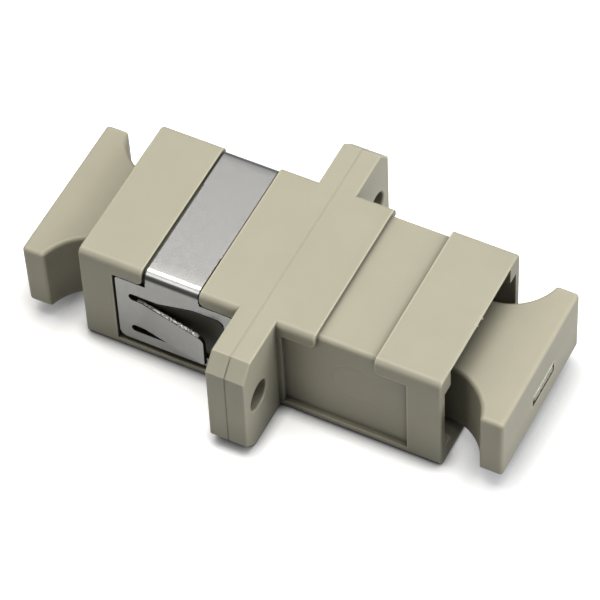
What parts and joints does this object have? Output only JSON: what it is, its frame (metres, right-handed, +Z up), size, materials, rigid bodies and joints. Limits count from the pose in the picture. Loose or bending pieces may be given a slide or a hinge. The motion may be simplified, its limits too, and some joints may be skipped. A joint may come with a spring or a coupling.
{
  "type": "fibre adapter",
  "caption": "Flanged feed-through adapter for square push-pull fibre connectors, with a sprung steel panel clip and push-in dust plugs.",
  "frame": {"origin": "middle of the flange on the fibre axis, at the centre of the box round the whole part", "axes": "+X along the fibre axis, away from the half that carries the clip; +Z up, square to the wide flat sides"},
  "size_m": [0.0365, 0.0222, 0.0092],
  "materials": {
    "housing": "satin beige moulding",
    "latch": "satin beige moulding",
    "sleeve": "polished white",
    "clip": "rolled spring strip",
    "plug": "satin beige soft moulding"
  },
  "bodies": {
    "adapter": {"housing_right": "housing", "housing_left": "housing", "latch_body_right": "latch", "latch_body_left": "latch", "alignment_sleeve": "sleeve", "panel_clip": "clip"},
    "plug_right": {"dust_plug_right": "plug"},
    "plug_left": {"dust_plug_left": "plug"}
  },
  "joints": [
    {"name": "dust_plug_right_slide", "type": "slide", "parent": "adapter", "child": "plug_right", "axis": [1, 0, 0], "range_m": [0, 0.014]},
    {"name": "dust_plug_left_slide", "type": "slide", "parent": "adapter", "child": "plug_left", "axis": [-0.9998, 0, -0.0192], "range_m": [0, 0.014]}
  ]
}
